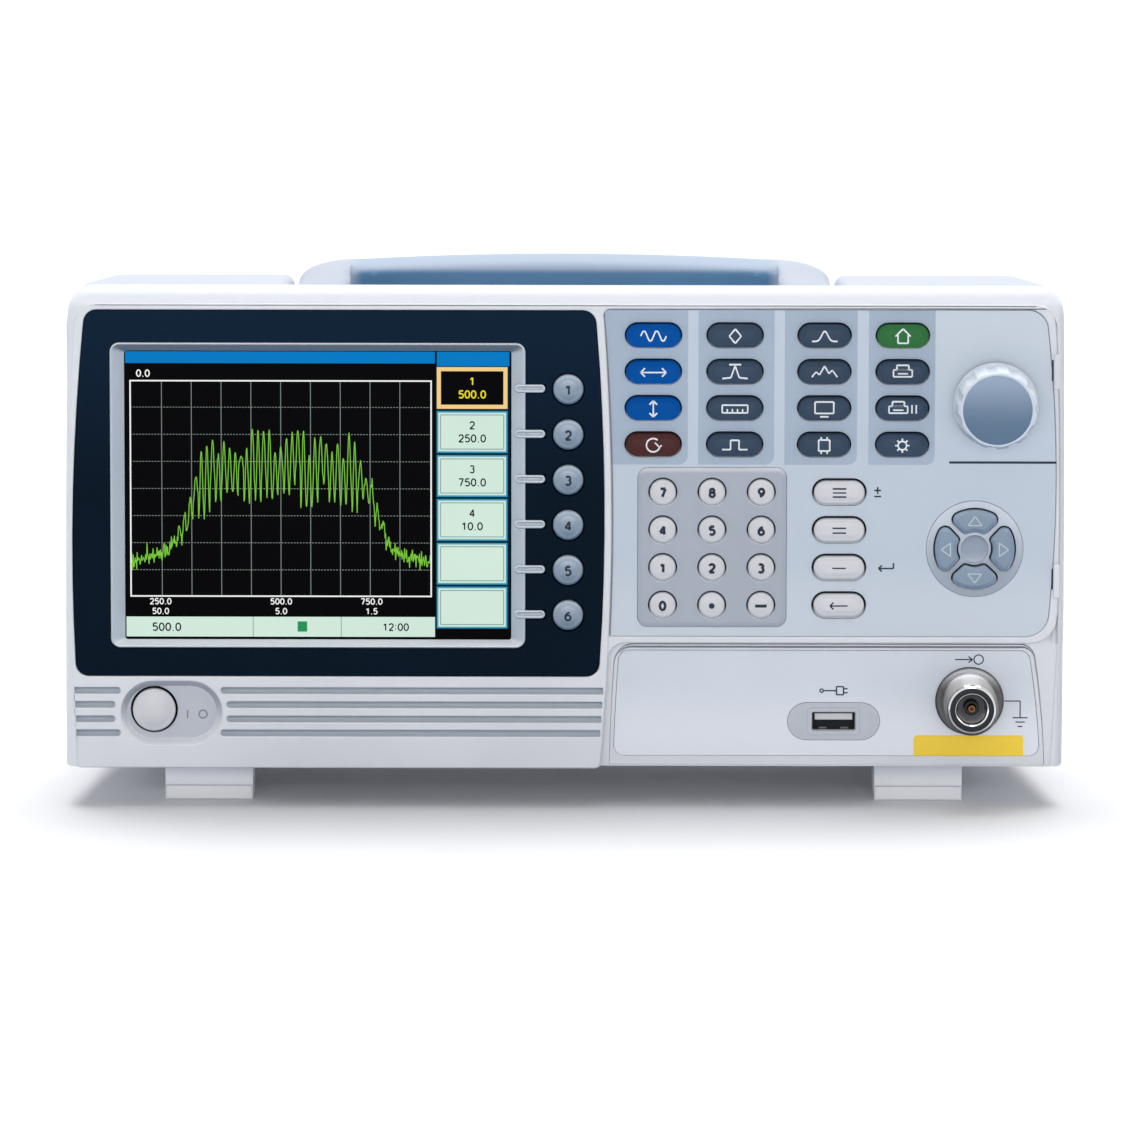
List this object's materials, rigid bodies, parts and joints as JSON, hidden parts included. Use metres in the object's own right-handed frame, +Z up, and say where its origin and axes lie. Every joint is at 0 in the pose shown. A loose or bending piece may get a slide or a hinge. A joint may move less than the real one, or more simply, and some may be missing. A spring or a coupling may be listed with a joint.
{
  "type": "bench spectrum analyzer",
  "caption": "Bench spectrum analyzer with a colour screen, soft keys, function and number keys, rotary knob, threaded RF input, fold-down bail handle and tilt legs.",
  "frame": {"origin": "centre of the footprint at table level, under the feet", "axes": "+X to the viewer's right, +Y from the front panel to the rear, +Z up"},
  "size_m": [0.296, 0.1186, 0.1555],
  "materials": {
    "case_plastic": "fine moulded texture, off-white",
    "dark_frame": "dark navy, satin",
    "grey_trim": "grey satin",
    "screen": "lit colour display",
    "panel_film": "printed polycarbonate film",
    "nickel": "nickel plated",
    "steel_shell": "plated steel",
    "circuit_board": "green solder mask",
    "supply_metal": "sheet metal",
    "screw_steel": "zinc plated",
    "handle_plastic": "pale steel blue",
    "knob_plastic": "steel blue",
    "white_key": "off-white",
    "soft_key": "silver grey",
    "slate_key": "slate blue",
    "blue_key": "blue",
    "maroon_key": "maroon",
    "green_key": "green",
    "arrow_key": "blue grey"
  },
  "bodies": {
    "case": {"front_bezel": "case_plastic", "rear_cover": "case_plastic", "display_frame": "dark_frame", "lcd_surround": "grey_trim", "lcd_module": "screen", "keypad_panel": "panel_film", "io_panel": "panel_film", "rf_connector": "nickel", "usb_port": "steel_shell", "keypad_board": "circuit_board", "main_board": "circuit_board", "power_supply": "supply_metal", "case_screws": "screw_steel"},
    "handle": {"handle": "handle_plastic"},
    "tilt_leg_left": {"tilt_leg_left": "case_plastic"},
    "tilt_leg_right": {"tilt_leg_right": "case_plastic"},
    "knob": {"knob": "knob_plastic"},
    "power_button": {"power_button": "white_key"},
    "soft_key_1": {"soft_key_1": "soft_key"},
    "soft_key_2": {"soft_key_2": "soft_key"},
    "soft_key_3": {"soft_key_3": "soft_key"},
    "soft_key_4": {"soft_key_4": "soft_key"},
    "soft_key_5": {"soft_key_5": "soft_key"},
    "soft_key_6": {"soft_key_6": "soft_key"},
    "function_key_11": {"function_key_11": "blue_key"},
    "function_key_12": {"function_key_12": "blue_key"},
    "function_key_13": {"function_key_13": "blue_key"},
    "function_key_14": {"function_key_14": "maroon_key"},
    "function_key_21": {"function_key_21": "slate_key"},
    "function_key_22": {"function_key_22": "slate_key"},
    "function_key_23": {"function_key_23": "slate_key"},
    "function_key_24": {"function_key_24": "slate_key"},
    "function_key_31": {"function_key_31": "slate_key"},
    "function_key_32": {"function_key_32": "slate_key"},
    "function_key_33": {"function_key_33": "slate_key"},
    "function_key_34": {"function_key_34": "slate_key"},
    "function_key_41": {"function_key_41": "green_key"},
    "function_key_42": {"function_key_42": "slate_key"},
    "function_key_43": {"function_key_43": "slate_key"},
    "function_key_44": {"function_key_44": "slate_key"},
    "number_key_11": {"number_key_11": "white_key"},
    "number_key_12": {"number_key_12": "white_key"},
    "number_key_13": {"number_key_13": "white_key"},
    "number_key_21": {"number_key_21": "white_key"},
    "number_key_22": {"number_key_22": "white_key"},
    "number_key_23": {"number_key_23": "white_key"},
    "number_key_31": {"number_key_31": "white_key"},
    "number_key_32": {"number_key_32": "white_key"},
    "number_key_33": {"number_key_33": "white_key"},
    "number_key_41": {"number_key_41": "white_key"},
    "number_key_42": {"number_key_42": "white_key"},
    "number_key_43": {"number_key_43": "white_key"},
    "unit_key_1": {"unit_key_1": "white_key"},
    "unit_key_2": {"unit_key_2": "white_key"},
    "unit_key_3": {"unit_key_3": "white_key"},
    "unit_key_4": {"unit_key_4": "white_key"},
    "arrow_key_right": {"arrow_key_right": "arrow_key"},
    "arrow_key_up": {"arrow_key_up": "arrow_key"},
    "arrow_key_left": {"arrow_key_left": "arrow_key"},
    "arrow_key_down": {"arrow_key_down": "arrow_key"}
  },
  "joints": [
    {"name": "handle_hinge", "type": "hinge", "parent": "case", "child": "handle", "pos_m": [0, 0.00225, 0.143], "axis": [1, 0, 0], "range_deg": [0, 90]},
    {"name": "tilt_leg_left_hinge", "type": "hinge", "parent": "case", "child": "tilt_leg_left", "pos_m": [-0.1054, -0.02615, 0.0042], "axis": [-1, 0, 0], "range_deg": [0, 90]},
    {"name": "tilt_leg_right_hinge", "type": "hinge", "parent": "case", "child": "tilt_leg_right", "pos_m": [0.1054, -0.02615, 0.0042], "axis": [-1, 0, 0], "range_deg": [0, 90]},
    {"name": "knob_turn", "type": "hinge", "parent": "case", "child": "knob", "pos_m": [0.1269, -0.04575, 0.1202], "axis": [0, 1, 0], "continuous": true},
    {"name": "power_press", "type": "slide", "parent": "case", "child": "power_button", "axis": [0, 1, 0], "range_m": [0, 0.003], "stiffness_N_per_m": 300, "springref_m": -0.003},
    {"name": "soft_key_1_press", "type": "slide", "parent": "case", "child": "soft_key_1", "axis": [0, 1, 0], "range_m": [0, 0.001], "stiffness_N_per_m": 500, "springref_m": -0.002},
    {"name": "soft_key_2_press", "type": "slide", "parent": "case", "child": "soft_key_2", "axis": [0, 1, 0], "range_m": [0, 0.001], "stiffness_N_per_m": 500, "springref_m": -0.002},
    {"name": "soft_key_3_press", "type": "slide", "parent": "case", "child": "soft_key_3", "axis": [0, 1, 0], "range_m": [0, 0.001], "stiffness_N_per_m": 500, "springref_m": -0.002},
    {"name": "soft_key_4_press", "type": "slide", "parent": "case", "child": "soft_key_4", "axis": [0, 1, 0], "range_m": [0, 0.001], "stiffness_N_per_m": 500, "springref_m": -0.002},
    {"name": "soft_key_5_press", "type": "slide", "parent": "case", "child": "soft_key_5", "axis": [0, 1, 0], "range_m": [0, 0.001], "stiffness_N_per_m": 500, "springref_m": -0.002},
    {"name": "soft_key_6_press", "type": "slide", "parent": "case", "child": "soft_key_6", "axis": [0, 1, 0], "range_m": [0, 0.001], "stiffness_N_per_m": 500, "springref_m": -0.002},
    {"name": "function_key_11_press", "type": "slide", "parent": "case", "child": "function_key_11", "axis": [0, 1, 0], "range_m": [0, 0.001], "stiffness_N_per_m": 500, "springref_m": -0.002},
    {"name": "function_key_12_press", "type": "slide", "parent": "case", "child": "function_key_12", "axis": [0, 1, 0], "range_m": [0, 0.001], "stiffness_N_per_m": 500, "springref_m": -0.002},
    {"name": "function_key_13_press", "type": "slide", "parent": "case", "child": "function_key_13", "axis": [0, 1, 0], "range_m": [0, 0.001], "stiffness_N_per_m": 500, "springref_m": -0.002},
    {"name": "function_key_14_press", "type": "slide", "parent": "case", "child": "function_key_14", "axis": [0, 1, 0], "range_m": [0, 0.001], "stiffness_N_per_m": 500, "springref_m": -0.002},
    {"name": "function_key_21_press", "type": "slide", "parent": "case", "child": "function_key_21", "axis": [0, 1, 0], "range_m": [0, 0.001], "stiffness_N_per_m": 500, "springref_m": -0.002},
    {"name": "function_key_22_press", "type": "slide", "parent": "case", "child": "function_key_22", "axis": [0, 1, 0], "range_m": [0, 0.001], "stiffness_N_per_m": 500, "springref_m": -0.002},
    {"name": "function_key_23_press", "type": "slide", "parent": "case", "child": "function_key_23", "axis": [0, 1, 0], "range_m": [0, 0.001], "stiffness_N_per_m": 500, "springref_m": -0.002},
    {"name": "function_key_24_press", "type": "slide", "parent": "case", "child": "function_key_24", "axis": [0, 1, 0], "range_m": [0, 0.001], "stiffness_N_per_m": 500, "springref_m": -0.002},
    {"name": "function_key_31_press", "type": "slide", "parent": "case", "child": "function_key_31", "axis": [0, 1, 0], "range_m": [0, 0.001], "stiffness_N_per_m": 500, "springref_m": -0.002},
    {"name": "function_key_32_press", "type": "slide", "parent": "case", "child": "function_key_32", "axis": [0, 1, 0], "range_m": [0, 0.001], "stiffness_N_per_m": 500, "springref_m": -0.002},
    {"name": "function_key_33_press", "type": "slide", "parent": "case", "child": "function_key_33", "axis": [0, 1, 0], "range_m": [0, 0.001], "stiffness_N_per_m": 500, "springref_m": -0.002},
    {"name": "function_key_34_press", "type": "slide", "parent": "case", "child": "function_key_34", "axis": [0, 1, 0], "range_m": [0, 0.001], "stiffness_N_per_m": 500, "springref_m": -0.002},
    {"name": "function_key_41_press", "type": "slide", "parent": "case", "child": "function_key_41", "axis": [0, 1, 0], "range_m": [0, 0.001], "stiffness_N_per_m": 500, "springref_m": -0.002},
    {"name": "function_key_42_press", "type": "slide", "parent": "case", "child": "function_key_42", "axis": [0, 1, 0], "range_m": [0, 0.001], "stiffness_N_per_m": 500, "springref_m": -0.002},
    {"name": "function_key_43_press", "type": "slide", "parent": "case", "child": "function_key_43", "axis": [0, 1, 0], "range_m": [0, 0.001], "stiffness_N_per_m": 500, "springref_m": -0.002},
    {"name": "function_key_44_press", "type": "slide", "parent": "case", "child": "function_key_44", "axis": [0, 1, 0], "range_m": [0, 0.001], "stiffness_N_per_m": 500, "springref_m": -0.002},
    {"name": "number_key_11_press", "type": "slide", "parent": "case", "child": "number_key_11", "axis": [0, 1, 0], "range_m": [0, 0.001], "stiffness_N_per_m": 500, "springref_m": -0.002},
    {"name": "number_key_12_press", "type": "slide", "parent": "case", "child": "number_key_12", "axis": [0, 1, 0], "range_m": [0, 0.001], "stiffness_N_per_m": 500, "springref_m": -0.002},
    {"name": "number_key_13_press", "type": "slide", "parent": "case", "child": "number_key_13", "axis": [0, 1, 0], "range_m": [0, 0.001], "stiffness_N_per_m": 500, "springref_m": -0.002},
    {"name": "number_key_21_press", "type": "slide", "parent": "case", "child": "number_key_21", "axis": [0, 1, 0], "range_m": [0, 0.001], "stiffness_N_per_m": 500, "springref_m": -0.002},
    {"name": "number_key_22_press", "type": "slide", "parent": "case", "child": "number_key_22", "axis": [0, 1, 0], "range_m": [0, 0.001], "stiffness_N_per_m": 500, "springref_m": -0.002},
    {"name": "number_key_23_press", "type": "slide", "parent": "case", "child": "number_key_23", "axis": [0, 1, 0], "range_m": [0, 0.001], "stiffness_N_per_m": 500, "springref_m": -0.002},
    {"name": "number_key_31_press", "type": "slide", "parent": "case", "child": "number_key_31", "axis": [0, 1, 0], "range_m": [0, 0.001], "stiffness_N_per_m": 500, "springref_m": -0.002},
    {"name": "number_key_32_press", "type": "slide", "parent": "case", "child": "number_key_32", "axis": [0, 1, 0], "range_m": [0, 0.001], "stiffness_N_per_m": 500, "springref_m": -0.002},
    {"name": "number_key_33_press", "type": "slide", "parent": "case", "child": "number_key_33", "axis": [0, 1, 0], "range_m": [0, 0.001], "stiffness_N_per_m": 500, "springref_m": -0.002},
    {"name": "number_key_41_press", "type": "slide", "parent": "case", "child": "number_key_41", "axis": [0, 1, 0], "range_m": [0, 0.001], "stiffness_N_per_m": 500, "springref_m": -0.002},
    {"name": "number_key_42_press", "type": "slide", "parent": "case", "child": "number_key_42", "axis": [0, 1, 0], "range_m": [0, 0.001], "stiffness_N_per_m": 500, "springref_m": -0.002},
    {"name": "number_key_43_press", "type": "slide", "parent": "case", "child": "number_key_43", "axis": [0, 1, 0], "range_m": [0, 0.001], "stiffness_N_per_m": 500, "springref_m": -0.002},
    {"name": "unit_key_1_press", "type": "slide", "parent": "case", "child": "unit_key_1", "axis": [0, 1, 0], "range_m": [0, 0.001], "stiffness_N_per_m": 500, "springref_m": -0.002},
    {"name": "unit_key_2_press", "type": "slide", "parent": "case", "child": "unit_key_2", "axis": [0, 1, 0], "range_m": [0, 0.001], "stiffness_N_per_m": 500, "springref_m": -0.002},
    {"name": "unit_key_3_press", "type": "slide", "parent": "case", "child": "unit_key_3", "axis": [0, 1, 0], "range_m": [0, 0.001], "stiffness_N_per_m": 500, "springref_m": -0.002},
    {"name": "unit_key_4_press", "type": "slide", "parent": "case", "child": "unit_key_4", "axis": [0, 1, 0], "range_m": [0, 0.001], "stiffness_N_per_m": 500, "springref_m": -0.002},
    {"name": "arrow_key_right_press", "type": "slide", "parent": "case", "child": "arrow_key_right", "axis": [0, 1, 0], "range_m": [0, 0.001], "stiffness_N_per_m": 500, "springref_m": -0.002},
    {"name": "arrow_key_up_press", "type": "slide", "parent": "case", "child": "arrow_key_up", "axis": [0, 1, 0], "range_m": [0, 0.001], "stiffness_N_per_m": 500, "springref_m": -0.002},
    {"name": "arrow_key_left_press", "type": "slide", "parent": "case", "child": "arrow_key_left", "axis": [0, 1, 0], "range_m": [0, 0.001], "stiffness_N_per_m": 500, "springref_m": -0.002},
    {"name": "arrow_key_down_press", "type": "slide", "parent": "case", "child": "arrow_key_down", "axis": [0, 1, 0], "range_m": [0, 0.001], "stiffness_N_per_m": 500, "springref_m": -0.002}
  ]
}
